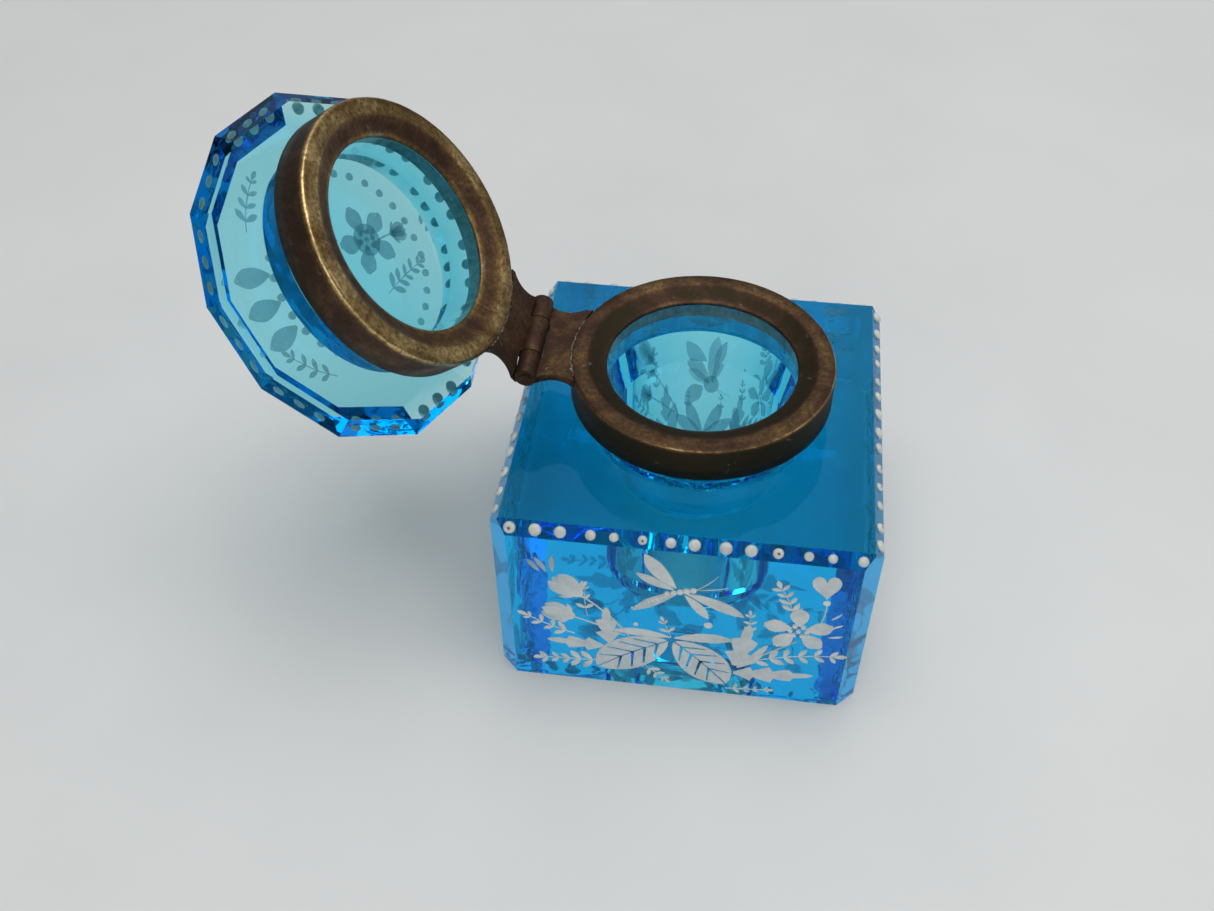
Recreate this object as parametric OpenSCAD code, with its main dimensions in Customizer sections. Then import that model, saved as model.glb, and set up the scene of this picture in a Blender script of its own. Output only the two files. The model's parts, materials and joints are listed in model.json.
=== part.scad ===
// Square glass inkwell with a hinged, facet-cut glass lid in brass mounts.
// Millimetres, +Z up. The origin is the centre of the block's underside.
// The lid is drawn open, resting on the stop of its hinge.

/* [Glass block] */
// Width of the block, left to right
block_w = 57; // [50:1:64]
// Depth of the block, front to back
block_d = 58; // [50:1:64]
// Height of the block up to its flat top face
block_h = 36; // [32:1:44]
// Width of the bevel round the top face, seen from above
bevel_w = 1.5; // [1.2:0.1:2.2]
// Height of the bevel round the top face
bevel_h = 2.1; // [1.6:0.1:2.6]
// Leg of the cut on each upright corner
corner_cut = 2.7; // [1.5:0.1:4]
// Radius of the ink well inside the block
well_r = 13.3; // [11:0.1:14]
// Height of the well's floor above the underside
well_floor = 8; // [6:0.5:12]
// Radius of the curve between the well's wall and its floor
well_corner_r = 7.5; // [2:0.5:10]

/* [Brass mounts] */
// Outer radius of both collars
collar_r = 20.15; // [19:0.05:21]
// Height of each collar's outer wall
collar_h = 5.9; // [5:0.1:7]
// Radius of the opening in both collars
opening_r = 14.55; // [14:0.05:15]
// Height of the seat where the two collars meet
seat_z = 45.7; // [44:0.1:48]
// Thickness of the brass sheet
sheet_t = 0.7; // [0.5:0.1:0.9]
// Gap between the two collars when the lid is shut
seat_gap = 0.2; // [0.1:0.05:0.4]

/* [Glass lid] */
// Distance from the lid's axis to its widest line, at the middle of each facet
lid_face_r = 25.8; // [24:0.1:27]
// Height of the lid's flat underside above the seat, at the axis
lid_plate_z = 11.2; // [11:0.1:12]
// Lean of the lid glass in its collar, up towards the front, in degrees
lid_skew = 7; // [0:1:8]
// Height of the lower bevel, from the flat underside to the lid's widest line
girdle_h = 2; // [1.5:0.1:3]
// Width of the lower bevel, seen from below
under_w = 2; // [0.5:0.1:3]
// Height of the sloping facets above the widest line
crown_h = 3; // [2:0.1:4]
// Width of the sloping facets, seen from above
crown_w = 4.5; // [3.5:0.1:6]

/* [Hinge] */
// Distance from the collars' axis to the hinge pin
hinge_x = 26; // [25.5:0.1:27]
// Shift of the hinge towards the back
hinge_y = 0.6; // [0:0.1:1]
// Rise of the hinge pin towards the back, in degrees
hinge_tilt = 4; // [3:0.5:4]
// Opening angle at which the lid rests, in degrees
open_angle = 127; // [100:1:127]
// Length of the whole knuckle barrel
barrel_l = 16.6; // [15:0.1:17]
// Radius of the knuckles
knuckle_r = 1.65; // [1.5:0.05:1.8]
// Radius of the hinge pin
pin_r = 0.8; // [0.7:0.05:0.9]
// Thickness of the hinge leaves
leaf_t = 1.2; // [1:0.1:1.4]

/* [Enamel] */
// Number of beads along each bevel of the block
bead_count = 14; // [10:1:16]
// Distance between two beads
bead_pitch = 3.9; // [3.4:0.1:4]
// Radius of the largest bead
bead_r = 0.95; // [0.7:0.05:1.1]
// Thickness of the painted flowers
paint_t = 0.12; // [0.1:0.01:0.3]

/* [Hidden] */
$fn = 96;

// Directions in which the lid's side faces look: even steps round most of it, narrower ones over the rest
facet_count = 12;
wide_facets = 9;
facet_first = 16;
facet_step = 31;
facet_rest = (360 - (wide_facets - 1) * facet_step) / (facet_count - wide_facets + 1);
facet_dirs = [for (i = [0 : facet_count - 1]) facet_first
    + min(i, wide_facets - 1) * facet_step + max(0, i - wide_facets + 1) * facet_rest];

neck_r = 17.6;
neck_fillet = 1.2;
neck_bore_r = 14.8;
flange_dip = 1.3;
flange_step_r = 17.3;
flange_lip = 0.35;
edge_r = 0.6;
wall_in_r = collar_r - sheet_t;
neck_top = -sheet_t - flange_dip - 0.1;
cement_low = -collar_h + 0.3;

hinge_z = seat_z + seat_gap / 2;
pin_play = 0.05;
knuckle_gap = 0.18;
leaf_clear = 0.25;
mid_l = barrel_l * 0.44;
end_l = (barrel_l - mid_l) / 2 - knuckle_gap;
leaf_drop = 0.1;
leaf_end = collar_r - 0.5;

lid_hollow_top = 10;
ring_r = 13.9;
ring_count = 30;

glass = [0.2, 0.68, 0.82, 0.6];
brass = [0.5, 0.38, 0.2];
plaster = [0.85, 0.83, 0.76];
solder = [0.62, 0.62, 0.6];
enamel = [0.9, 0.91, 0.88];

// Points along an arc, from angle a0 to a1 in n steps
function arc(c, r, a0, a1, n) =
    [for (i = [0 : n]) c + r * [cos(a0 + (a1 - a0) * i / n), sin(a0 + (a1 - a0) * i / n)]];

// Height of the flange's underside at radius r, below the seat plane
function flange_under(r) =
    -sheet_t - 0.3 - (flange_dip - 0.3) * (flange_step_r - r) / (flange_step_r - opening_r - flange_lip);

// A small shift that makes hand-placed beads uneven, from -1 to 1
function uneven(i) = sin(i * 137 + 40);

// ---- Placing ----

// Turns children about the hinge pin, by a given angle
module about_pin(angle) {
    translate([-hinge_x, hinge_y, hinge_z])
        rotate([hinge_tilt, 0, 0])
            rotate([0, -angle, 0])
                rotate([-hinge_tilt, 0, 0])
                    translate([hinge_x, -hinge_y, -hinge_z])
                        children();
}

// Puts a piece drawn on the shut lid, with its seat face at z = 0, where the open lid is
module on_lid() {
    about_pin(open_angle)
        translate([0, 0, seat_z + seat_gap])
            children();
}

// Puts a piece drawn round the hinge pin, with the pin along Y, at the hinge
module at_pin() {
    translate([-hinge_x, hinge_y, hinge_z])
        rotate([hinge_tilt, 0, 0])
            children();
}

// Leans the upper part of the lid glass in its collar
module leaned() {
    translate([0, -0.8, lid_plate_z])
        rotate([-lid_skew, -lid_skew / 4, 0])
            children();
}

// Puts a flat drawing, X to the right and Y up, on one side face of the block
module on_side(turn) {
    depth = (turn % 180 == 0) ? block_d / 2 : block_w / 2;
    rotate([0, 0, turn])
        translate([0, -depth, 0])
            rotate([90, 0, 0])
                children();
}

// ---- Glass block ----

module corner_cut_prism() {
    translate([block_w / 2, block_d / 2, -1])
        linear_extrude(block_h + 2)
            polygon([[-corner_cut, 0], [-corner_cut, 1], [1, 1], [1, -corner_cut], [0, -corner_cut]]);
}

module bevel_prism(half_width, length) {
    rotate([90, 0, 0])
        linear_extrude(length + 2, center = true)
            polygon([
                [half_width - bevel_w, block_h],
                [half_width, block_h - bevel_h],
                [half_width + 1, block_h - bevel_h],
                [half_width + 1, block_h + 1],
                [half_width - bevel_w, block_h + 1]
            ]);
}

module block_body() {
    difference() {
        translate([-block_w / 2, -block_d / 2, 0])
            cube([block_w, block_d, block_h]);
        for (sx = [0, 1], sy = [0, 1])
            mirror([sx, 0, 0])
                mirror([0, sy, 0])
                    corner_cut_prism();
        for (side = [0, 180]) {
            rotate([0, 0, side])
                bevel_prism(block_w / 2, block_d);
            rotate([0, 0, side + 90])
                bevel_prism(block_d / 2, block_w);
        }
    }
}

module neck() {
    top = seat_z + neck_top;
    rotate_extrude()
        polygon(concat(
            [[0, block_h - 1], [neck_r + neck_fillet, block_h - 1]],
            arc([neck_r + neck_fillet, block_h + neck_fillet], neck_fillet, 270, 180, 6),
            [[neck_r, top - 0.4], [neck_r - 0.4, top], [0, top]]
        ));
}

module well() {
    rotate_extrude()
        polygon(concat(
            [[0, well_floor]],
            arc([well_r - well_corner_r, well_floor + well_corner_r], well_corner_r, 270, 360, 8),
            [[well_r, block_h - 3], [neck_bore_r, block_h + 3], [neck_bore_r, seat_z], [0, seat_z]]
        ));
}

module glass_block() {
    color(glass)
        difference() {
            union() {
                block_body();
                neck();
            }
            well();
        }
}

// ---- Brass collars and what holds them ----

// One collar, with its seat face at z = 0 and its wall hanging below
module collar() {
    lip_c = [opening_r + flange_lip, -flange_dip - flange_lip];
    rotate_extrude()
        polygon(concat(
            [[wall_in_r, -collar_h], [collar_r, -collar_h]],
            arc([collar_r - edge_r, -edge_r], edge_r, 0, 90, 6),
            arc([flange_step_r + 0.3, -0.3], 0.3, 90, 180, 3),
            [[flange_step_r - 0.9, -0.75]],
            arc(lip_c, flange_lip, 90, 270, 8),
            [[flange_step_r, -0.3 - sheet_t], [flange_step_r + 0.3, -sheet_t], [wall_in_r, -sheet_t]]
        ));
}

// Plaster between a collar and the glass neck inside it, from the neck's rim to the foot of the wall
module cement(foot) {
    in_r = neck_bore_r + 0.5;
    rotate_extrude()
        polygon([
            [neck_r, foot],
            [wall_in_r, foot],
            [wall_in_r, -sheet_t],
            [flange_step_r + 0.3, -sheet_t],
            [flange_step_r, -0.3 - sheet_t],
            [in_r, flange_under(in_r)],
            [in_r, neck_top],
            [neck_r - 0.4, neck_top],
            [neck_r, neck_top - 0.4]
        ]);
}

// A solder fillet where a hinge leaf meets the rounded edge of its collar
module solder_seam(half_width) {
    intersection() {
        rotate_extrude()
            polygon(concat(
                arc([collar_r - edge_r, -edge_r], edge_r, 15, 80, 5),
                [[collar_r + 0.1, 0.02], [collar_r + 0.6, -leaf_drop], [collar_r, -leaf_drop]]
            ));
        translate([-collar_r - 3, hinge_y - half_width, -2])
            cube([10, 2 * half_width, 3]);
    }
}

module base_collar() {
    color(brass)
        translate([0, 0, seat_z])
            collar();
}

module base_cement() {
    color(plaster)
        translate([0, 0, seat_z])
            cement(cement_low);
}

module base_solder() {
    color(solder)
        translate([0, 0, seat_z])
            solder_seam(6.8);
}

module lid_collar() {
    color(brass)
        on_lid()
            mirror([0, 0, 1])
                collar();
}

module lid_cement() {
    color(plaster)
        on_lid()
            mirror([0, 0, 1])
                cement(cement_low);
}

module lid_solder() {
    color(solder)
        on_lid()
            mirror([0, 0, 1])
                solder_seam(6.4);
}

// ---- Hinge ----

// Outline of a leaf, waisted between the knuckles and the collar, with the pin at the origin
module leaf_outline(waist) {
    notch = 4;
    difference() {
        translate([0, -barrel_l / 2])
            square([hinge_x - leaf_end + 2, barrel_l]);
        for (s = [-1, 1])
            translate([4.2, s * (waist + notch)])
                circle(notch);
    }
}

// A leaf drawn at the hinge on the shut lid, from height z up, cut to the collar's round wall
module leaf_plate(waist, z) {
    difference() {
        translate([-hinge_x, hinge_y, z])
            linear_extrude(leaf_t)
                leaf_outline(waist);
        translate([0, 0, z - 1])
            cylinder(r = collar_r, h = leaf_t + 2);
    }
}

// A length of barrel round the pin, starting at y
module barrel(y, length, r) {
    translate([0, y, 0])
        rotate([-90, 0, 0])
            cylinder(r = r, h = length);
}

module end_barrels(r, extra) {
    for (s = [0, 1])
        mirror([0, s, 0])
            barrel(mid_l / 2 + knuckle_gap - extra, end_l + 2 * extra, r);
}

module mid_barrel(r, extra) {
    barrel(-mid_l / 2 - extra, mid_l + 2 * extra, r);
}

module base_hinge_leaf() {
    color(brass)
        difference() {
            union() {
                leaf_plate(7.3, seat_z - leaf_drop - leaf_t);
                at_pin()
                    end_barrels(knuckle_r, 0);
            }
            at_pin() {
                mid_barrel(knuckle_r + leaf_clear, knuckle_gap);
                barrel(-barrel_l, 2 * barrel_l, pin_r);
            }
        }
}

module hinge_pin() {
    color(brass)
        at_pin()
            barrel(-barrel_l / 2 - 0.2, barrel_l + 0.4, pin_r);
}

module lid_hinge_leaf() {
    color(brass)
        about_pin(open_angle)
            difference() {
                union() {
                    leaf_plate(6.9, seat_z + seat_gap + leaf_drop);
                    at_pin()
                        mid_barrel(knuckle_r, 0);
                }
                at_pin() {
                    end_barrels(knuckle_r + leaf_clear, knuckle_gap);
                    barrel(-barrel_l, 2 * barrel_l, pin_r + pin_play);
                }
            }
}

// ---- Glass lid ----

// Everything inside the lower bevel and the sloping facet that look in one direction
module facet_keep(dir) {
    top = girdle_h + crown_h;
    rotate([0, 0, dir])
        rotate([90, 0, 0])
            linear_extrude(4 * lid_face_r, center = true)
                polygon([
                    [-2 * lid_face_r, 0],
                    [lid_face_r - under_w, 0],
                    [lid_face_r, girdle_h],
                    [lid_face_r - crown_w, top],
                    [-2 * lid_face_r, top]
                ]);
}

module lid_plate() {
    intersection_for (dir = facet_dirs)
        facet_keep(dir);
}

module lid_glass() {
    color(glass)
        on_lid()
            difference() {
                union() {
                    leaned()
                        lid_plate();
                    rotate_extrude()
                        polygon([
                            [0, -neck_top],
                            [neck_r - 0.4, -neck_top],
                            [neck_r, 0.4 - neck_top],
                            [neck_r, lid_plate_z + 0.6],
                            [0, lid_plate_z + 0.6]
                        ]);
                }
                translate([0, 0, -1])
                    cylinder(r = neck_bore_r, h = lid_hollow_top + 1);
            }
}

// ---- Enamel ----

// A raised bead, flat underneath, on the plane z = 0
module bead(r) {
    intersection() {
        translate([0, 0, -0.45 * r])
            sphere(r = 1.1 * r, $fn = 32);
        translate([-2 * r, -2 * r, 0])
            cube([4 * r, 4 * r, 2 * r]);
    }
}

// A row of beads along the bevel above one side face
module bead_row(turn) {
    half = (turn % 180 == 0) ? block_d / 2 : block_w / 2;
    rotate([0, 0, turn])
        translate([0, -half + bevel_w / 2, block_h - bevel_h / 2])
            rotate([atan2(bevel_h, bevel_w), 0, 0])
                for (i = [0 : bead_count - 1])
                    translate([(i - (bead_count - 1) / 2) * bead_pitch + 0.3 * uneven(i + turn), 0, 0])
                        bead(bead_r * (0.86 + 0.14 * uneven(3 * i + turn)));
}

module front_beads() {
    color(enamel) bead_row(0);
}

module right_beads() {
    color(enamel) bead_row(90);
}

module back_beads() {
    color(enamel) bead_row(180);
}

module left_beads() {
    color(enamel) bead_row(270);
}

// A pointed leaf from the origin along X
module leaf(length, width) {
    r = (length * length + width * width) / (4 * width);
    translate([length / 2, 0])
        intersection_for (s = [-1, 1])
            translate([0, s * (r - width / 2)])
                circle(r);
}

// Leaves of one spray as [x, y, angle, length, width], seen from outside with Y up
SPRAY = [
    [-1, 10.5, 188, 15.5, 7.4],
    [1, 10.5, -28, 14.5, 6.4],
    [-1.5, 13.5, 172, 13, 2.6],
    [1.5, 13.2, 3, 13.5, 2.6],
    [-13.5, 12.5, 173, 10.5, 3],
    [-12, 12.5, 104, 9, 4],
    [10.5, 6.2, 58, 12, 5.4],
    [11, 5, -8, 13.5, 3.6],
    [-14, 25, 165, 8.2, 5],
    [-16, 17.6, 168, 8.2, 5]
];

// A winged insect with its tail to the lower left, as leaves in the same form
INSECT = [
    [0, 21, 200, 9, 1.9],
    [1.4, 22.2, 128, 9.5, 2.8],
    [1.2, 21.9, 158, 8, 1.9],
    [1.8, 21.4, -14, 12, 2.8],
    [1.4, 20.6, -42, 8.6, 1.9]
];

// A five-petalled flower, 11 mm wide
module flower() {
    for (i = [0 : 4])
        rotate(90 + 72 * i)
            translate([3.4, 0])
                circle(2.1);
    circle(2.6);
}

// A heart-shaped bud, 6 mm high
module heart() {
    for (s = [-1, 1])
        translate([1.3 * s, 1.2])
            circle(1.7);
    rotate(-90)
        translate([-2.6, 0])
            leaf(7, 4.6);
}

// Flat painting on one side face: a flower, a heart-shaped bud, and leaves from a list
module painting(turn, leaves) {
    on_side(turn)
        linear_extrude(paint_t) {
            translate([17.6, 15.4])
                flower();
            translate([21.3, 27.5])
                heart();
            for (l = leaves)
                translate([l[0], l[1]])
                    rotate(l[2])
                        leaf(l[3], l[4]);
        }
}

module front_painting() {
    color(enamel) painting(0, concat(SPRAY, INSECT));
}

module right_painting() {
    color(enamel) painting(90, SPRAY);
}

module back_painting() {
    color(enamel) painting(180, concat(SPRAY, INSECT));
}

module left_painting() {
    color(enamel) painting(270, SPRAY);
}

// Three beads on each sloping facet of the lid
module lid_beads() {
    color(enamel)
        on_lid()
            leaned()
                for (dir = facet_dirs, k = [-1 : 1])
                    rotate([0, 0, dir])
                        translate([lid_face_r - crown_w / 2, 3.6 * k, girdle_h + crown_h / 2])
                            rotate([0, 90 - atan2(crown_w, crown_h), 0])
                                bead(bead_r);
}

// A ring of small beads and a spray of leaves on the lid's flat top
module lid_painting() {
    color(enamel)
        on_lid()
            leaned()
                translate([0, 0, girdle_h + crown_h]) {
                    for (i = [0 : ring_count - 1])
                        rotate([0, 0, i * 360 / ring_count])
                            translate([ring_r, 0, 0])
                                bead(0.5);
                    linear_extrude(paint_t)
                        for (i = [0 : 4])
                            rotate(i * 72 + 20)
                                translate([3.4, 0])
                                    leaf(8.5, 3.6);
                    linear_extrude(paint_t)
                        circle(2.8);
                }
}

glass_block();
base_collar();
base_cement();
base_hinge_leaf();
hinge_pin();
base_solder();
front_beads();
right_beads();
back_beads();
left_beads();
front_painting();
right_painting();
back_painting();
left_painting();
lid_glass();
lid_collar();
lid_cement();
lid_hinge_leaf();
lid_solder();
lid_beads();
lid_painting();
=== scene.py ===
"""Looks of a square glass inkwell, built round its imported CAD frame. Metres, +Z up."""
import math
import random

import bmesh
import bpy
from mathutils import Matrix, Vector, geometry, noise
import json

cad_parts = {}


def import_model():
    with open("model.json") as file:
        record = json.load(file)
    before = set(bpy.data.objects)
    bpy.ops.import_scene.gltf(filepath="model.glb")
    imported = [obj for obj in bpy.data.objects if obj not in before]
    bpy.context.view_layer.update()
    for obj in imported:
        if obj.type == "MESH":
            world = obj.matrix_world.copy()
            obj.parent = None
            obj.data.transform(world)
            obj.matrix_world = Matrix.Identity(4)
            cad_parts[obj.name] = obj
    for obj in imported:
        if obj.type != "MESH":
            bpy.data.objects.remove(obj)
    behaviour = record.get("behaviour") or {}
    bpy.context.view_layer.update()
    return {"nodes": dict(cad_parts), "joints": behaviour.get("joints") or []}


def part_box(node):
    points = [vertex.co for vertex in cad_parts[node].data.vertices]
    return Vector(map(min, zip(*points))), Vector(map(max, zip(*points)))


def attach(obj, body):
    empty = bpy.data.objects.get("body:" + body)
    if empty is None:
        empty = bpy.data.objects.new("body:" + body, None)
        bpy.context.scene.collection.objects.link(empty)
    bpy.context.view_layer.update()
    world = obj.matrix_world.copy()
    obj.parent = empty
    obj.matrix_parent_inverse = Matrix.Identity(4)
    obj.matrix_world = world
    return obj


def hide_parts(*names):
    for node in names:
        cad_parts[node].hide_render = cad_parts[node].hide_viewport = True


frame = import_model()

MM = 0.001
NODES = frame["nodes"]


# ---- Materials ----

class Shader:
    """A node material with one Principled shader, and short calls for its usual nodes."""

    def __init__(self, name):
        self.mat = bpy.data.materials.new(name)
        self.mat.use_nodes = True
        self.tree = self.mat.node_tree
        self.bsdf = self.tree.nodes["Principled BSDF"]
        self.coord = self.tree.nodes.new("ShaderNodeTexCoord").outputs["Object"]

    def node(self, kind, **settings):
        """Adds a node and sets its own properties."""
        made = self.tree.nodes.new(kind)
        for key, value in settings.items():
            setattr(made, key, value)
        return made

    def link(self, a, b):
        """Joins an output to an input."""
        self.tree.links.new(a, b)

    def noise(self, scale, detail=4.0, rough=0.55, distort=0.0):
        """Noise whose scale is in waves per millimetre."""
        made = self.node("ShaderNodeTexNoise")
        made.inputs["Scale"].default_value = scale / MM
        made.inputs["Detail"].default_value = detail
        made.inputs["Roughness"].default_value = rough
        made.inputs["Distortion"].default_value = distort
        self.link(self.coord, made.inputs["Vector"])
        return made.outputs["Fac"]

    def ramp(self, fac, stops):
        """A colour ramp from (position, colour or grey) stops."""
        made = self.node("ShaderNodeValToRGB")
        elements = made.color_ramp.elements
        while len(elements) < len(stops):
            elements.new(0.5)
        for element, (place, colour) in zip(elements, stops):
            element.position = place
            grey = isinstance(colour, (int, float))
            element.color = (colour,) * 3 + (1,) if grey else tuple(colour) + (1,)
        self.link(fac, made.inputs["Fac"])
        return made.outputs["Color"]

    def mix(self, fac, a, b):
        """Mixes two colours, each a socket or a plain colour."""
        made = self.node("ShaderNodeMix", data_type="RGBA")
        for socket, value in ((made.inputs[0], fac), (made.inputs[6], a), (made.inputs[7], b)):
            if isinstance(value, bpy.types.NodeSocket):
                self.link(value, socket)
            elif isinstance(value, (int, float)):
                socket.default_value = value
            else:
                socket.default_value = tuple(value) + (1,)
        return made.outputs[2]

    def math(self, operation, a, b):
        """A sum on two values, each a socket or a number."""
        made = self.node("ShaderNodeMath", operation=operation)
        for socket, value in zip(made.inputs, (a, b)):
            if isinstance(value, bpy.types.NodeSocket):
                self.link(value, socket)
            else:
                socket.default_value = value
        return made.outputs[0]

    def bump(self, height, strength, distance, before=None):
        """A bump of a height in millimetres, on top of an earlier one if there is one."""
        made = self.node("ShaderNodeBump")
        made.inputs["Strength"].default_value = strength
        made.inputs["Distance"].default_value = distance * MM
        self.link(height, made.inputs["Height"])
        if before:
            self.link(before, made.inputs["Normal"])
        return made.outputs["Normal"]

    def set(self, **values):
        """Sets or links the shader's own sockets; an underscore in a name stands for a space."""
        for key, value in values.items():
            socket = self.bsdf.inputs[key.replace("_", " ")]
            if isinstance(value, bpy.types.NodeSocket):
                self.link(value, socket)
            else:
                socket.default_value = value


def aqua_glass(name, colour, density):
    """Clear glass that absorbs red and some green, with bluish reflections and a slightly wavy polish."""
    s = Shader(name)
    wavy = s.noise(0.09, 2.0, 0.4)
    fine = s.noise(0.6, 3.0, 0.5)
    normal = s.bump(fine, 0.05, 0.1, s.bump(wavy, 0.22, 1.0))
    rough = s.ramp(s.noise(0.25, 5.0, 0.65), [(0.45, 0.0), (0.8, 0.03)])
    s.set(Base_Color=(1, 1, 1, 1), Transmission_Weight=1.0, IOR=1.5, Roughness=rough, Normal=normal,
          Specular_Tint=(0.04, 0.62, 1.0, 1))
    volume = s.node("ShaderNodeVolumeAbsorption")
    volume.inputs["Color"].default_value = colour + (1,)
    volume.inputs["Density"].default_value = density
    s.link(volume.outputs[0], s.tree.nodes["Material Output"].inputs["Volume"])
    return s.mat


def old_brass(name, zone=None):
    """Patinated brass. zone runs from 0, black, over red-brown and golden brown to 1, bare metal.
    Without a zone, the mesh's own band value is used."""
    dark = (0.035, 0.026, 0.012)
    s = Shader(name)
    blotch = s.noise(0.11, 7.0, 0.7, 0.7)
    streak = s.noise(0.5, 5.0, 0.7)
    speck = s.noise(1.7, 5.0, 0.75)
    if zone is None:
        zone = s.node("ShaderNodeAttribute", attribute_name="band").outputs["Fac"]
    drift = s.math("ADD", s.math("MULTIPLY", s.math("SUBTRACT", blotch, 0.5), 1.5),
                   s.math("MULTIPLY", s.math("SUBTRACT", streak, 0.5), 0.35))
    worn = s.math("ADD", zone, drift)
    base = s.ramp(worn, [(0.05, dark), (0.3, (0.08, 0.036, 0.025)), (0.52, (0.15, 0.082, 0.036)),
                         (0.76, (0.3, 0.18, 0.062)), (1.0, (0.78, 0.55, 0.24))])
    base = s.mix(s.ramp(speck, [(0.36, 0.75), (0.6, 0.0)]), base, dark)
    grey = s.ramp(s.noise(0.3, 7.0, 0.7, 0.8), [(0.64, 0.0), (0.69, 0.7)])
    base = s.mix(grey, base, (0.22, 0.225, 0.19))
    rough = s.ramp(worn, [(0.2, 0.6), (0.9, 0.28)])
    normal = s.bump(speck, 0.35, 0.08, s.bump(blotch, 0.3, 0.25))
    s.set(Base_Color=base, Metallic=0.85, Roughness=rough, Normal=normal)
    return s.mat


def simple_rough(name, low, high, scale, roughness, bump, metallic=0.0):
    """A rough two-tone surface: plaster or solder."""
    s = Shader(name)
    grain = s.noise(scale, 6.0, 0.6)
    s.set(Base_Color=s.ramp(grain, [(0.35, low), (0.65, high)]), Roughness=roughness,
          Metallic=metallic, Normal=s.bump(s.noise(scale * 2.5, 4.0), bump, 0.15))
    return s.mat


def bead_enamel():
    """Cream-white enamel with dark brown where a bubble has burst."""
    s = Shader("bead_enamel")
    grain = s.ramp(s.noise(0.7, 6.0, 0.6), [(0.35, (0.5, 0.53, 0.5)), (0.65, (0.74, 0.74, 0.68))])
    pit = s.node("ShaderNodeAttribute", attribute_name="pit").outputs["Fac"]
    s.set(Base_Color=s.mix(pit, grain, (0.07, 0.045, 0.025)), Roughness=0.38, Subsurface_Weight=0.7,
          Subsurface_Radius=(1.0, 1.0, 1.0), Subsurface_Scale=1.5 * MM,
          Normal=s.bump(s.noise(1.8, 4.0), 0.35, 0.12))
    return s.mat


def enamel_paint(name, thin, full, tones):
    """Enamel with brush streaks. thin and full are how opaque it is where dry and where loaded,
    and tones are its colours from dry to loaded."""
    s = Shader(name)
    attr = s.node("ShaderNodeAttribute", attribute_name="thick").outputs["Fac"]
    cloud = s.noise(0.45, 5.0, 0.6)
    uneven = s.math("MULTIPLY", s.math("SUBTRACT", cloud, 0.35), 0.8)
    dense = s.math("ADD", s.math("MULTIPLY", attr, 0.75), uneven)
    base = s.ramp(dense, [(0.1, tones[0]), (0.55, tones[1]), (1.0, tones[2])])
    alpha = s.ramp(dense, [(0.0, thin), (0.5, (thin + 2 * full) / 3), (1.0, full)])
    normal = s.bump(s.noise(2.2, 4.0, 0.6), 0.35, 0.05)
    s.set(Base_Color=base, Roughness=0.45, Alpha=alpha, Normal=normal)
    return s.mat


def assign(mat, *nodes):
    """Puts a material on every slot of the CAD nodes named."""
    for name in nodes:
        mesh = NODES[name].data
        mesh.materials.clear()
        mesh.materials.append(mat)


BLOCK_GLASS = aqua_glass("block_glass", (0.0, 0.87, 1.0), 80.0)
LID_GLASS = aqua_glass("lid_glass", (0.0, 0.84, 0.96), 200.0)
BRASS = old_brass("old_brass")
HINGE_BRASS = old_brass("hinge_brass", 0.36)
PLASTER = simple_rough("plaster", (0.3, 0.36, 0.34), (0.55, 0.6, 0.55), 0.8, 0.9, 0.5)
SOLDER = simple_rough("solder", (0.02, 0.017, 0.012), (0.34, 0.31, 0.25), 1.3, 0.6, 0.9, 0.6)
BEAD_ENAMEL = bead_enamel()
FRONT_PAINT = enamel_paint("front_paint", 0.6, 0.95,
                           ((0.36, 0.54, 0.6), (0.64, 0.72, 0.74), (0.84, 0.87, 0.87)))
SIDE_PAINT = enamel_paint("side_paint", 0.1, 0.34,
                          ((0.3, 0.52, 0.58), (0.52, 0.64, 0.66), (0.75, 0.8, 0.8)))
LID_PAINT = enamel_paint("lid_paint", 0.16, 0.42,
                         ((0.3, 0.56, 0.64), (0.5, 0.66, 0.7), (0.72, 0.8, 0.8)))

assign(BLOCK_GLASS, "glass_block")
assign(LID_GLASS, "lid_glass")
assign(PLASTER, "base_cement", "lid_cement")
assign(HINGE_BRASS, "base_hinge_leaf", "lid_hinge_leaf", "hinge_pin")


# ---- Enamel drawing ----
# Motifs are drawn flat in millimetres, X to the right and Y up, headings in degrees from X, and a
# matrix lays them on a face. Each motif is a formula of its place, heading and size.

PAINT_H = 0.12          # height of a stroke
PAINT_SINK = 0.03       # how far it reaches into the glass
PAINT_SHOULDER = 0.06   # how far its top edge is drawn in
DOT_SIDES = 12
HEART_STEPS = 28
PETALS = 5
VEINS = 4               # slits in each half of a veined leaf
VEINED_BELLY = 0.55     # where it is widest, as a share of its length
RIB_GAP = 0.12          # half the bare width along its midrib
RIB_STEPS = 40          # steps along its midrib
EDGE_STEPS = 20         # steps along each of its edges


def polar(x, y, heading, reach):
    """The point at a distance from (x, y) in the direction of heading."""
    angle = math.radians(heading)
    return Vector((x + reach * math.cos(angle), y + reach * math.sin(angle)))


def bow(x, y, heading, length, curl, steps=16):
    """A line that starts at (x, y) and turns evenly through curl degrees along its length."""
    line = [Vector((x, y))]
    for i in range(steps):
        line.append(polar(line[-1].x, line[-1].y, heading + curl * (i + 0.5) / steps, length / steps))
    return line


def swelling(t, belly):
    """Rises from 0 at t = 0 to 1 at belly and falls back to 0 at t = 1."""
    bend = t / belly / 2 if t < belly else 0.5 + (t - belly) / (1 - belly) / 2
    return math.sin(math.pi * bend)


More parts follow.
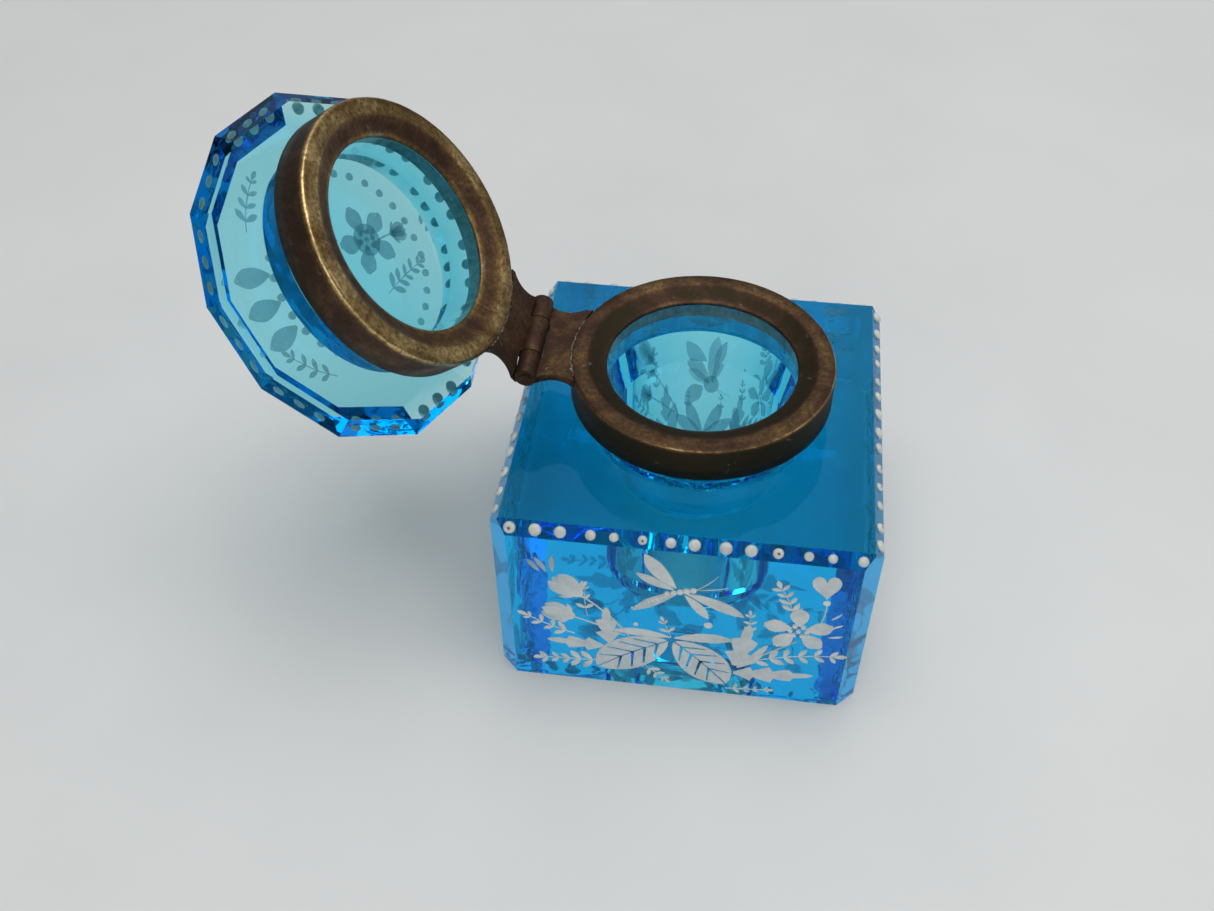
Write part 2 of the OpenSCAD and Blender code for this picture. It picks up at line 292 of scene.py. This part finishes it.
class Enamel:
    """Raised enamel on one flat face: every call adds a closed slab to one mesh."""

    def __init__(self, place, seed):
        self.place = place
        self.random = random.Random(seed)
        self.bm = bmesh.new()
        self.thick = self.bm.verts.layers.float.new("thick")

    def slab(self, outline, thick, height=None):
        """A flat shape with softened edges. thick is how dense the paint is at each point."""
        if sum(a.cross(b) for a, b in zip(outline, outline[1:] + outline[:1])) < 0:
            outline = outline[::-1]
            thick = thick[::-1]
        height = height or PAINT_H * self.random.uniform(0.8, 1.15)
        count = len(outline)
        low, high = [], []
        for i, point in enumerate(outline):
            before = (point - outline[i - 1]).normalized()
            after = (outline[(i + 1) % count] - point).normalized()
            inward = Vector((-(before.y + after.y), before.x + after.x)).normalized() * PAINT_SHOULDER
            low.append(self.bm.verts.new(self.place @ Vector((point.x, point.y, -PAINT_SINK))))
            top = point + inward
            high.append(self.bm.verts.new(self.place @ Vector((top.x, top.y, height))))
            low[-1][self.thick] = high[-1][self.thick] = thick[i]
        for i in range(count):
            j = (i + 1) % count
            self.bm.faces.new((low[i], low[j], high[j], high[i]))
        for a, b, c in geometry.tessellate_polygon([[p.to_3d() for p in outline]]):
            if (outline[b] - outline[a]).cross(outline[c] - outline[a]) < 0:
                b, c = c, b
            self.bm.faces.new((high[a], high[b], high[c]))
            self.bm.faces.new((low[c], low[b], low[a]))

    def stroke(self, line, width, belly=0.6, blunt=0.12, thick=1.0):
        """A brush stroke along a line, widest at belly, with ends at least blunt times its width."""
        count = len(line) - 1
        left, right = [], []
        for i, point in enumerate(line):
            t = i / count
            along = (line[min(i + 1, count)] - line[max(i - 1, 0)]).normalized()
            half = width / 2 * max(swelling(t, belly) ** 0.75, blunt)
            side = Vector((-along.y, along.x)) * half
            left.append(point + side)
            right.append(point - side)
        fade = self.random.uniform(0.1, 0.6)
        dense = [thick - fade * i / count for i in range(count + 1)]
        self.slab(left + right[::-1], dense + dense[::-1])

    def leaf(self, x, y, heading, length, width, curl=None, thick=1.0):
        """A pointed leaf, slightly bent as a brush leaves it."""
        curl = self.random.uniform(-18, 18) if curl is None else curl
        self.stroke(bow(x, y, heading, length, curl), width, thick=thick)

    def stem(self, x, y, heading, length, curl, width):
        """A thin line of nearly even width."""
        self.stroke(bow(x, y, heading, length, curl), width, blunt=0.75)

    def dot(self, x, y, r, height=None):
        """A small round blob, raised if height is given."""
        ring = [polar(x, y, 360 * i / DOT_SIDES, r) for i in range(DOT_SIDES)]
        self.slab(ring, [1.0] * DOT_SIDES, height)

    def sprig(self, x, y, heading, length, pairs, leaf, curl=0.0):
        """A stem with pairs of small leaves that shrink towards its tip."""
        line = bow(x, y, heading, length, curl, 4 * pairs)
        self.stroke(line, 0.2, blunt=0.75)
        for k in range(1, pairs + 1):
            spot = line[4 * k - 1]
            way = heading + curl * k / pairs
            size = leaf * (1.1 - 0.45 * k / pairs) * self.random.uniform(0.85, 1.15)
            for side in (1, -1):
                self.leaf(spot.x, spot.y, way + side * self.random.uniform(38, 58), size, 0.42 * size)
        self.leaf(line[-1].x, line[-1].y, heading + curl, 0.8 * leaf, 0.36 * leaf)

    def tulip(self, x, y, heading, size, stalk, curl):
        """Three petals that stand on a round foot, on a stalk with two narrow leaves."""
        foot = polar(x, y, heading + 180, size)
        for side in (-1, 0, 1):
            self.leaf(foot.x, foot.y, heading + 30 * side, 2.2 * size, 1.15 * size, -34 * side, 0.9)
        self.dot(foot.x + 0.25 * (x - foot.x), foot.y + 0.25 * (y - foot.y), 0.5 * size)
        self.stem(foot.x, foot.y, heading + 180, stalk, curl, 0.34)
        for side in (1, -1):
            self.leaf(foot.x, foot.y, heading + side * 68, 1.4 * size, 0.36 * size, -18 * side)

    def veined_leaf(self, x, y, heading, length, width, curl):
        """A broad leaf in two halves, parted by its midrib, with veins left bare as slits."""
        line = bow(x, y, heading, length, curl, RIB_STEPS)

        def at(t, across):
            """The point at a fraction t of the midrib, that far to its left."""
            i = min(int(t * RIB_STEPS), RIB_STEPS - 1)
            spot = line[i].lerp(line[i + 1], t * RIB_STEPS - i)
            along = (line[i + 1] - line[i]).normalized()
            return spot + Vector((-along.y, along.x)) * across

        def half(t):
            """Half the leaf's width there."""
            return width / 2 * max(swelling(t, VEINED_BELLY), 0.0) ** 0.62

        for side in (1, -1):
            edge = []
            fade = []
            for i in range(EDGE_STEPS + 1):
                t = i / EDGE_STEPS
                edge.append(at(t, side * max(half(t), RIB_GAP * 1.6)))
                fade.append(1.0 - 0.45 * i / EDGE_STEPS)
            inner = []
            for k in range(VEINS, 0, -1):
                root = 0.12 + 0.68 * (k - 1) / VEINS
                reach = min(root + 0.2, 0.93)
                inner.append(at(root + 0.04, side * RIB_GAP))
                inner.append(at(reach + 0.012, side * half(reach) * 0.84))
                inner.append(at(reach - 0.012, side * half(reach) * 0.84))
                inner.append(at(root, side * RIB_GAP))
            rib = [at(0.98, side * RIB_GAP)] + inner + [at(0.02, side * RIB_GAP)]
            self.slab(edge + rib, fade + [0.8] * len(rib))

    def toothed_leaf(self, x, y, heading, length, width, teeth, curl=0.0):
        """A leaf whose edges step out in teeth that point to its tip."""
        steps = 6 * teeth
        line = bow(x, y, heading, length, curl, steps)
        sides = ([], [])
        for i, point in enumerate(line[:-1]):
            t = i / steps
            along = (line[i + 1] - point).normalized()
            swell = math.sin(math.pi * (0.06 + 0.92 * t) ** 0.8) * (0.5 + 0.62 * (i % 6) / 5)
            for side, edge in zip((1, -1), sides):
                edge.append(point + Vector((-along.y, along.x)) * side * width / 2 * swell)
        outline = sides[0] + [line[-1]] + sides[1][::-1]
        self.slab(outline, [0.75] * len(outline))

    def blossom(self, x, y, size):
        """Broad petals round a ring of raised dots."""
        for k in range(PETALS):
            way = 90 + 360 * k / PETALS + self.random.uniform(-6, 6)
            root = polar(x, y, way, 0.22 * size)
            self.stroke(bow(root.x, root.y, way, 0.8 * size, 10), 0.56 * size, 0.62, 0.3)
        for k in range(6):
            spot = polar(x, y, 60 * k, 0.24 * size)
            self.dot(spot.x, spot.y, 0.42, 0.3)
        self.dot(x, y, 0.42, 0.3)

    def heart_bud(self, x, y, heading, size, stalk):
        """A heart-shaped bud on a stalk, with a dot where they meet."""
        turn = Matrix.Rotation(math.radians(heading - 90), 2)
        outline = []
        for i in range(HEART_STEPS):
            t = 2 * math.pi * i / HEART_STEPS
            across = math.sin(t) ** 3
            up = (13 * math.cos(t) - 5 * math.cos(2 * t) - 2 * math.cos(3 * t) - math.cos(4 * t)) / 16
            outline.append(Vector((x, y)) + turn @ Vector((0.8 * across, 1.1 * up)) * size)
        self.slab(outline, [0.8] * len(outline))
        tip = polar(x, y, heading + 180, 1.4 * size)
        self.dot(tip.x, tip.y, 0.6)
        self.stem(tip.x, tip.y, heading + 180, stalk, -20, 0.3)

    def dragonfly(self, x, y, heading, size):
        """Four wings, a thorax and tail of raised dots, and two feelers. heading is where it looks."""
        wings = ((112, 1.0, 0.3), (140, 0.75, 0.2), (-38, 1.15, 0.26), (-66, 0.75, 0.2))
        for way, reach, width in wings:
            root = polar(x, y, heading + way, 0.12 * size)
            self.leaf(root.x, root.y, heading + way, reach * size, width * size, -12)
        for k in range(5):
            spot = polar(x, y, heading, (0.24 - 0.12 * k) * size)
            self.dot(spot.x, spot.y, 0.58 - 0.05 * abs(k - 1), 0.26)
        for k in range(9):
            spot = polar(x, y, heading + 197, (0.3 + 0.09 * k) * size)
            self.dot(spot.x, spot.y, 0.34 - 0.02 * k, 0.2)
        self.leaf(x, y, heading + 197, 1.05 * size, 0.22 * size, 6, 0.7)
        for way in (-14, 22):
            root = polar(x, y, heading, 0.3 * size)
            self.stem(root.x, root.y, heading + way, 0.55 * size, 20, 0.16)

    def bee(self, x, y, heading, size):
        """A round body with a drop-shaped tail turned aside, raised wings and two feelers."""
        self.slab([polar(x, y, 20 * i, 0.26 * size) for i in range(18)], [0.9] * 18)
        tail = polar(x, y, heading + 122, 0.3 * size)
        self.stroke(bow(tail.x, tail.y, heading + 122, 0.78 * size, -40), 0.5 * size, 0.4, 0.2, 0.9)
        wings = ((-172, 1.15, 0.44), (-190, 0.8, 0.3), (-122, 1.0, 0.4), (-106, 0.95, 0.3))
        for way, reach, width in wings:
            root = polar(x, y, heading + way, 0.08 * size)
            self.leaf(root.x, root.y, heading + way, reach * size, width * size, 6, 0.6)
        for way in (-12, 12):
            root = polar(x, y, heading, 0.24 * size)
            self.stem(root.x, root.y, heading + way, 0.5 * size, -16, 0.16)

    def done(self, name, body, node, mat):
        """Makes the piece, which rides on a body and stands for a CAD node."""
        make_piece(self.bm, name, body, node, mat)


def make_piece(bm, name, body, node, mat):
    """Turns a bmesh into a piece that rides on a body and stands for a CAD node."""
    bmesh.ops.recalc_face_normals(bm, faces=bm.faces)
    mesh = bpy.data.meshes.new(name)
    bm.to_mesh(mesh)
    bm.free()
    mesh.materials.append(mat)
    piece = bpy.data.objects.new(name, mesh)
    bpy.context.scene.collection.objects.link(piece)
    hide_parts(node)
    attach(piece, body)


# Every side has a bunch at each end, leaves in the middle and, on two sides, an insect.

def tulip_bunch(e, side):
    """Two tulips over toothed leaves and ferns. side is -1 for the left end and 1 for the right."""
    lean = 90 - side * 38
    e.tulip(17 * side, 23.5, lean - side * 12, 2.4, 13, side * 22)
    e.tulip(18.5 * side, 17, lean - side * 34, 2.2, 9, side * 10)
    for k in range(3):
        e.leaf((19 + k) * side, 26.5, 90 - side * (8 + 14 * k), 4 - 0.4 * k, 0.9, thick=0.4)
    e.sprig(14 * side, 17, 90 - side * 8, 7, 3, 1.6, side * 12)
    e.sprig(16 * side, 12, 90 - side * 72, 8, 4, 2.4, side * 14)
    e.toothed_leaf(11.5 * side, 9.5, 90 - side * 88, 9, 3.2, 3)
    e.toothed_leaf(10.5 * side, 10.5, 90 - side * 10, 9, 3.6, 3, side * 14)
    e.sprig(12 * side, 5.5, 90 - side * 94, 9, 5, 2.5)


def flower_bunch(e, side):
    """An open flower and a heart bud over toothed leaves and ferns."""
    e.toothed_leaf(9 * side, 8, 90 - side * 14, 11, 4.4, 3, side * 10)
    e.toothed_leaf(9.5 * side, 7.5, 90 - side * 40, 8, 2.2, 2, side * 14)
    e.toothed_leaf(9 * side, 6, 90 - side * 88, 12.5, 3.8, 4, side * 8)
    e.sprig(10.5 * side, 9, 90 - side * 62, 14, 6, 2.6, side * -24)
    e.stem(9 * side, 8, 90 - side * 52, 12, side * 6, 0.28)
    e.sprig(11 * side, 16, 90 + side * 4, 5, 3, 1.6)
    e.blossom(18 * side, 18.5, 5.2)
    e.sprig(17 * side, 22, 90 + side * 14, 6.5, 4, 2.4, side * 14)
    e.heart_bud(21 * side, 29.5, 96, 2.7, 5)
    for k in range(3):
        e.leaf(22.5 * side, 17.5 + 2.2 * k, 90 - side * (80 - 18 * k), 2.2, 0.4)


def middle_leaves(e):
    """Two broad veined leaves side by side, slim ones above them, small sprigs and two dots."""
    e.veined_leaf(-1.5, 12.5, 212, 14, 7.6, 12)
    e.veined_leaf(-0.5, 12.5, 316, 13, 7.4, -10)
    e.leaf(-1, 13.5, 170, 9, 1.7, 14)
    e.leaf(-0.5, 13.5, 12, 9, 2.2, -14)
    e.sprig(-1, 13.5, 108, 4, 2, 1.7)
    e.sprig(-5, 5.5, -45, 4.5, 3, 1.7)
    e.sprig(8, 1.5, 6, 6.5, 4, 1.6)
    e.dot(-6.5, 16, 0.42)
    e.dot(4.5, 17.5, 0.7)


def bee_leaves(e):
    """Four plain leaves that meet at the bottom, with a leaf and a sprig upright on either side."""
    for way in (18, 48, 132, 162):
        e.leaf(0, 8, way, 9, 3, 20 if way < 90 else -20)
    for x in (-9, 9):
        e.leaf(x, 6, 92, 9, 3, 6)
        e.sprig(x / 2, 13, 90, 4, 2, 1.4)


def face_matrix(turn, depth):
    """From a flat drawing in millimetres to one side face of the block, turned about Z."""
    flat = Matrix(((1, 0, 0, 0), (0, 0, -1, -depth), (0, 1, 0, 0), (0, 0, 0, 1)))
    return Matrix.Rotation(math.radians(turn), 4, "Z") @ Matrix.Scale(MM, 4) @ flat


def side_paintings():
    """Paints the four side faces, with a dragonfly on the front one and a bee on the back one."""
    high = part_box("glass_block")[1]
    half_w = high[0] / MM
    half_d = high[1] / MM

    front = Enamel(face_matrix(0, half_d), 11)
    tulip_bunch(front, -1)
    middle_leaves(front)
    flower_bunch(front, 1)
    front.dragonfly(0, 25, 18, 8.5)
    front.done("front_enamel", "base", "front_painting", FRONT_PAINT)

    back = Enamel(face_matrix(180, half_d), 13)
    flower_bunch(back, -1)
    bee_leaves(back)
    tulip_bunch(back, 1)
    back.bee(-1.5, 20, 215, 8)
    back.done("back_enamel", "base", "back_painting", SIDE_PAINT)

    for name, turn, seed, first, second in (("right", 90, 12, flower_bunch, tulip_bunch),
                                            ("left", 270, 14, tulip_bunch, flower_bunch)):
        side = Enamel(face_matrix(turn, half_w), seed)
        first(side, -1)
        middle_leaves(side)
        second(side, 1)
        side.done(name + "_enamel", "base", name + "_painting", SIDE_PAINT)


# ---- Lid frame ----
# The shut lid's own frame has the base's axes. Millimetres and degrees, as in the CAD.

SEAT_GAP = 0.2      # between the two collars when the lid is shut
LID_PLATE_Z = 11.2  # height of the lid's plate above its seat face
LID_SHIFT_Y = -0.8  # shift of the plate towards the front
LID_LEAN = 7.0      # how far the plate tilts up at the front, and a quarter of it at the right
LID_TOP = 5.0       # thickness of the plate
JOINT = frame["joints"][0]
SEAT = Matrix.Translation((0, 0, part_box("base_collar")[1][2])) @ Matrix.Scale(MM, 4)
UPSIDE_DOWN = Matrix.Diagonal((1, 1, -1, 1))


def lid_matrix():
    """From the shut lid's own frame, seat face at z = 0, in millimetres, to where the open lid is."""
    pivot = Matrix.Translation(Vector(JOINT["pos_m"]))
    opened = Matrix.Rotation(-math.radians(JOINT["range_deg"][1]), 4, Vector(JOINT["axis"]))
    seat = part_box("base_collar")[1][2] + SEAT_GAP * MM
    return pivot @ opened @ pivot.inverted() @ Matrix.Translation((0, 0, seat)) @ Matrix.Scale(MM, 4)


def lid_top_matrix():
    """From a flat drawing in millimetres to the leaning top face of the lid."""
    lean = (Matrix.Rotation(math.radians(-LID_LEAN / 4), 4, "Y")
            @ Matrix.Rotation(math.radians(-LID_LEAN), 4, "X"))
    foot = Matrix.Translation((0, LID_SHIFT_Y, LID_PLATE_Z))
    return lid_matrix() @ foot @ lean @ Matrix.Translation((0, 0, LID_TOP))


def lid_painting():
    """A ring of raised dots, a flower, a bud and ferns inside it, and leaves and sprigs outside it."""
    e = Enamel(lid_top_matrix(), 21)
    for k in range(30):
        spot = polar(0, 0, 12 * k, 13.9)
        e.dot(spot.x, spot.y, 0.62, 0.4)
    e.blossom(0, 5, 5.4)
    e.dot(0, 5, 2.6)
    e.tulip(-4, 10.5, 125, 1.5, 4, -20)
    e.sprig(-7, 0, 100, 9, 5, 2.2, 12)
    e.sprig(-5, -4, 200, 7, 4, 2.0)
    e.leaf(2, -1, -70, 7, 3.2)
    e.sprig(4, 1, -20, 7, 4, 2.0)
    for way in (-78, -62, -46):
        root = polar(0, 0, way, 14.5)
        e.leaf(root.x, root.y, way, 6, 3)
    for way in (-110, -25, 40, 105, 170):
        root = polar(0, 0, way, 17.5)
        e.sprig(root.x, root.y, way + 80, 8, 4, 2.1, 24)
    e.done("lid_enamel", "lid", "lid_painting", LID_PAINT)


# ---- Brass collars, solder and beads ----

COLLAR_STEPS = 144
SHEET = 0.7         # thickness of the brass
EDGE_R = 0.6        # rounding of the collar's outer edge
SEAM_BLOBS = 90     # blobs in a solder seam
SEAM_HALF = 6.6     # half the seam's length
SEAM_R = 19.95      # its distance from the collar's axis
BEAD_SIDES = 16


def collar_profile(radius, height):
    """Points (radius, height, tarnish band, how far it may be dented) round the sheet's section. The band
    on the rounded rim is partly wear and partly a painted highlight.
    """
    wall = [(radius, -height, 0.0, 0.3), (radius, -0.66 * height, 0.05, 1.0),
            (radius, -0.33 * height, 0.0, 1.0), (radius, -0.16 * height, 0.12, 1.0)]
    rim = []
    # The rim's two middle steps at 1.0 are bare metal: partly wear, partly a painted highlight along the
    # edge.
    for k in range(7):
        angle = math.radians(15 * k)
        rim.append((radius - EDGE_R + EDGE_R * math.cos(angle), -EDGE_R + EDGE_R * math.sin(angle),
                    1.0 if k in (2, 3) else 0.5, 1.0))
    face = [(radius - 1.4, 0.0, 0.62, 1.0), (17.7, 0.0, 0.56, 1.0), (17.2, -0.25, 0.26, 0.7),
            (16.4, -0.75, 0.13, 0.7), (15.4, -1.05, 0.16, 0.5)]
    lip = []
    for k in range(5):
        angle = math.radians(90 + 45 * k)
        lip.append((14.9 + 0.35 * math.cos(angle), -1.65 + 0.35 * math.sin(angle), 0.4, 0.0))
    under = [(17.3, -1.0, 0.1, 0.0), (17.6, -SHEET, 0.1, 0.0), (radius - SHEET, -SHEET, 0.1, 0.0),
             (radius - SHEET, -height, 0.1, 0.0)]
    return wall + rim + face + lip + under


def collar(name, body, node, place, tone):
    """A spun brass collar with small dents. A higher tone is nearer bare metal, and it picks the dents.
    Its rim carries a bright band of wear and painted highlight, strongest towards the front right.
    """
    low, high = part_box("base_collar")
    profile = collar_profile((high[0] - low[0]) / 2 / MM, (high[2] - low[2]) / MM)
    bm = bmesh.new()
    band = bm.verts.layers.float.new("band")
    rings = []
    for i in range(COLLAR_STEPS):
        angle = 2 * math.pi * i / COLLAR_STEPS
        around = Vector((math.cos(angle), math.sin(angle), 0))
        broad = noise.noise(around * 3.1 + Vector((0, 0, tone * 9)))
        dent = 0.07 * broad + 0.03 * noise.noise(around * 9.0)
        # Painted highlight mixed with wear: the rim's bare-metal band is brightest towards the front
        # right, where the light falls.
        rim_wear_and_highlight = 0.7 + 0.3 * math.cos(angle + math.radians(50))
        ring = []
        for r, z, zone, give in profile:
            spot = around * (r - abs(dent) * give) + Vector((0, 0, z + dent * give * 0.5))
            vert = bm.verts.new(place @ spot)
            vert[band] = zone * (rim_wear_and_highlight if zone == 1.0 else 1.0) + tone
            ring.append(vert)
        rings.append(ring)
    for ring, after in zip(rings, rings[1:] + rings[:1]):
        for k in range(len(profile)):
            j = (k + 1) % len(profile)
            bm.faces.new((ring[k], ring[j], after[j], after[k]))
    for face in bm.faces:
        face.smooth = True
    make_piece(bm, name, body, node, BRASS)


def solder_seam(name, body, node, place, seed):
    """A lumpy line of solder along the joint of a hinge leaf and its collar."""
    rng = random.Random(seed)
    bm = bmesh.new()
    for k in range(SEAM_BLOBS):
        across = -SEAM_HALF + 2 * SEAM_HALF * k / (SEAM_BLOBS - 1)
        r = SEAM_R + rng.uniform(-0.12, 0.16)
        spot = Vector((-math.sqrt(r * r - across * across), across, rng.uniform(-0.32, -0.14)))
        size = (rng.uniform(0.14, 0.3), rng.uniform(0.14, 0.3), rng.uniform(0.1, 0.2), 1)
        blob = place @ Matrix.Translation(spot) @ Matrix.Diagonal(size)
        bmesh.ops.create_icosphere(bm, subdivisions=1, radius=1.0, matrix=blob)
    make_piece(bm, name, body, node, SOLDER)


def bead_places(node):
    """The middle, outward direction, radius and height in metres of every bead of a CAD node."""
    bm = bmesh.new()
    bm.from_mesh(NODES[node].data)
    bmesh.ops.remove_doubles(bm, verts=bm.verts, dist=1e-6)
    seen = set()
    found = []
    for start in bm.verts:
        if start in seen:
            continue
        seen.add(start)
        group = [start]
        for vert in group:              # grows until it holds the whole bead
            for edge in vert.link_edges:
                other = edge.other_vert(vert)
                if other not in seen:
                    seen.add(other)
                    group.append(other)
        sums = {}
        for face in dict.fromkeys(f for vert in group for f in vert.link_faces):
            key = tuple(round(c, 2) for c in face.normal)
            sums[key] = sums.get(key, 0.0) + face.calc_area()
        out = -Vector(max(sorted(sums), key=sums.get)).normalized()
        base = min(vert.co.dot(out) for vert in group)
        rim = [vert.co for vert in group if vert.co.dot(out) < base + 0.02 * MM]
        middle = sum(rim, Vector()) / len(rim)
        found.append((middle, out, max((co - middle).length for co in rim),
                      max(vert.co.dot(out) for vert in group) - base))
    bm.free()
    return sorted(found, key=lambda bead: [round(c / MM, 3) for c in bead[0]])


def beads(node, body, seed):
    """Domed enamel beads where the CAD has them, some with a burst bubble on top."""
    rng = random.Random(seed)
    bm = bmesh.new()
    pit = bm.verts.layers.float.new("pit")
    for middle, out, radius, height in bead_places(node):
        burst = rng.random() < 0.5
        turn = out.to_track_quat("Z", "Y").to_matrix()
        off = Vector((rng.uniform(-0.15, 0.15), rng.uniform(-0.15, 0.15), 0)) * radius
        # Rings from the foot to the top: share of the radius, share of the height, how dark if burst
        domes = ((1.0, -0.05, 0), (1.0, 0.3, 0), (0.84, 0.7, 0), (0.55, 0.93, 0),
                 (0.3, 1.0, 0.2), (0.14, 0.78 if burst else 1.02, 1.0))
        rings = []
        for across, up, mark in domes:
            ring = []
            for k in range(BEAD_SIDES):
                angle = 2 * math.pi * k / BEAD_SIDES
                flat = Vector((math.cos(angle), math.sin(angle), 0)) * across * radius
                shift = off * (1 - across)
                vert = bm.verts.new(middle + turn @ (flat + shift + Vector((0, 0, up * height))))
                vert[pit] = mark if burst else 0.0
                ring.append(vert)
            rings.append(ring)
        for ring, above in zip(rings, rings[1:]):
            for k in range(BEAD_SIDES):
                j = (k + 1) % BEAD_SIDES
                bm.faces.new((ring[k], ring[j], above[j], above[k])).smooth = True
        bm.faces.new(rings[-1])
        bm.faces.new(rings[0][::-1])
    make_piece(bm, node + "_enamel", body, node, BEAD_ENAMEL)


def worn_edges(*nodes):
    """Rounds the sharp edges of CAD pieces a little."""
    for name in nodes:
        weld = NODES[name].modifiers.new("weld", "WELD")
        weld.merge_threshold = 0.001 * MM
        bevel = NODES[name].modifiers.new("worn", "BEVEL")
        bevel.width = 0.12 * MM
        bevel.segments = 2
        bevel.limit_method = "ANGLE"
        bevel.angle_limit = math.radians(35)


# ---- Floor, light and camera ----

FLOOR_SIZE = 3.0
FLOOR_DROP = 0.00005    # keeps the floor clear of the block's underside
ROOM_COLOUR = (0.93, 0.97, 1.0, 1)
ROOM_LIGHT = 0.2
CAMERA_PLACE = (0.0057, -0.1475, 0.1759)
CAMERA_TURN = (44.1, 0.3, 7.6)      # degrees about X, Y and Z
FOCAL_LENGTH = 38.3                 # mm, on a sensor 36 mm wide
BOUNCES = 32                        # enough for light to leave the thick glass

# Name, place, target, size in metres, power in watts, colour
LAMPS = (
    ("overhead", (0.05, -0.05, 1.0), (0, 0, 0.02), (0.8, 0.8), 5.4, (1.0, 0.99, 0.97)),
    ("back_panel", (0, 0.8, 0.85), (0, 0, 0.03), (1.6, 0.9), 1.9, (0.94, 0.98, 1.0)),
    ("front_fill", (-0.1, -0.8, 0.4), (0, 0, 0.02), (0.5, 0.5), 1.3, (0.93, 0.98, 1.0)),
    ("window", (0.75, 0.15, 0.6), (0, 0, 0.02), (0.6, 0.6), 1.0, (0.96, 0.98, 1.0)),
)


def floor():
    """A plain pale floor just under the block."""
    bpy.ops.mesh.primitive_plane_add(size=FLOOR_SIZE, location=(0, 0, -FLOOR_DROP))
    plane = bpy.context.object
    plane.name = "floor"
    s = Shader("pale_floor")
    tone = s.ramp(s.noise(0.02, 3.0), [(0.3, (0.76, 0.77, 0.765)), (0.7, (0.8, 0.805, 0.8))])
    s.set(Base_Color=tone, Roughness=0.6, Normal=s.bump(s.noise(1.2, 3.0), 0.05, 0.1))
    plane.data.materials.append(s.mat)


def area_light(name, place, target, size, power, colour):
    """A rectangular lamp that faces a target."""
    data = bpy.data.lights.new(name, "AREA")
    data.shape = "RECTANGLE"
    data.size, data.size_y = size
    data.energy = power
    data.color = colour
    lamp = bpy.data.objects.new(name, data)
    bpy.context.scene.collection.objects.link(lamp)
    lamp.location = place
    lamp.rotation_euler = (Vector(target) - Vector(place)).to_track_quat("-Z", "Y").to_euler()


def world():
    """A dim, even room light."""
    made = bpy.data.worlds.new("soft_room")
    made.use_nodes = True
    bpy.context.scene.world = made
    back = made.node_tree.nodes["Background"]
    back.inputs["Color"].default_value = ROOM_COLOUR
    back.inputs["Strength"].default_value = ROOM_LIGHT


def camera():
    """Looks down at the block from in front."""
    data = bpy.data.cameras.new("camera")
    cam = bpy.data.objects.new("camera", data)
    bpy.context.scene.collection.objects.link(cam)
    cam.location = CAMERA_PLACE
    cam.rotation_euler = [math.radians(turn) for turn in CAMERA_TURN]
    data.sensor_width = 36.0
    data.lens = FOCAL_LENGTH
    data.clip_start = 0.01
    bpy.context.scene.camera = cam


def render_depth():
    """Light paths long enough to leave thick glass, and plain colours."""
    scene = bpy.context.scene
    scene.cycles.max_bounces = BOUNCES
    scene.cycles.transmission_bounces = BOUNCES
    scene.cycles.glossy_bounces = 12
    scene.cycles.diffuse_bounces = 6
    scene.view_settings.view_transform = "Standard"


side_paintings()
lid_painting()
collar("base_ring", "base", "base_collar", SEAT, -0.12)
collar("lid_ring", "lid", "lid_collar", lid_matrix() @ UPSIDE_DOWN, 0.26)
solder_seam("base_seam", "base", "base_solder", SEAT, 31)
solder_seam("lid_seam", "lid", "lid_solder", lid_matrix() @ UPSIDE_DOWN, 32)
for number, side in enumerate(("front", "right", "back", "left")):
    beads(side + "_beads", "base", 41 + number)
beads("lid_beads", "lid", 45)
worn_edges("base_hinge_leaf", "lid_hinge_leaf")
render_depth()
floor()
world()
for lamp in LAMPS:
    area_light(*lamp)
camera()
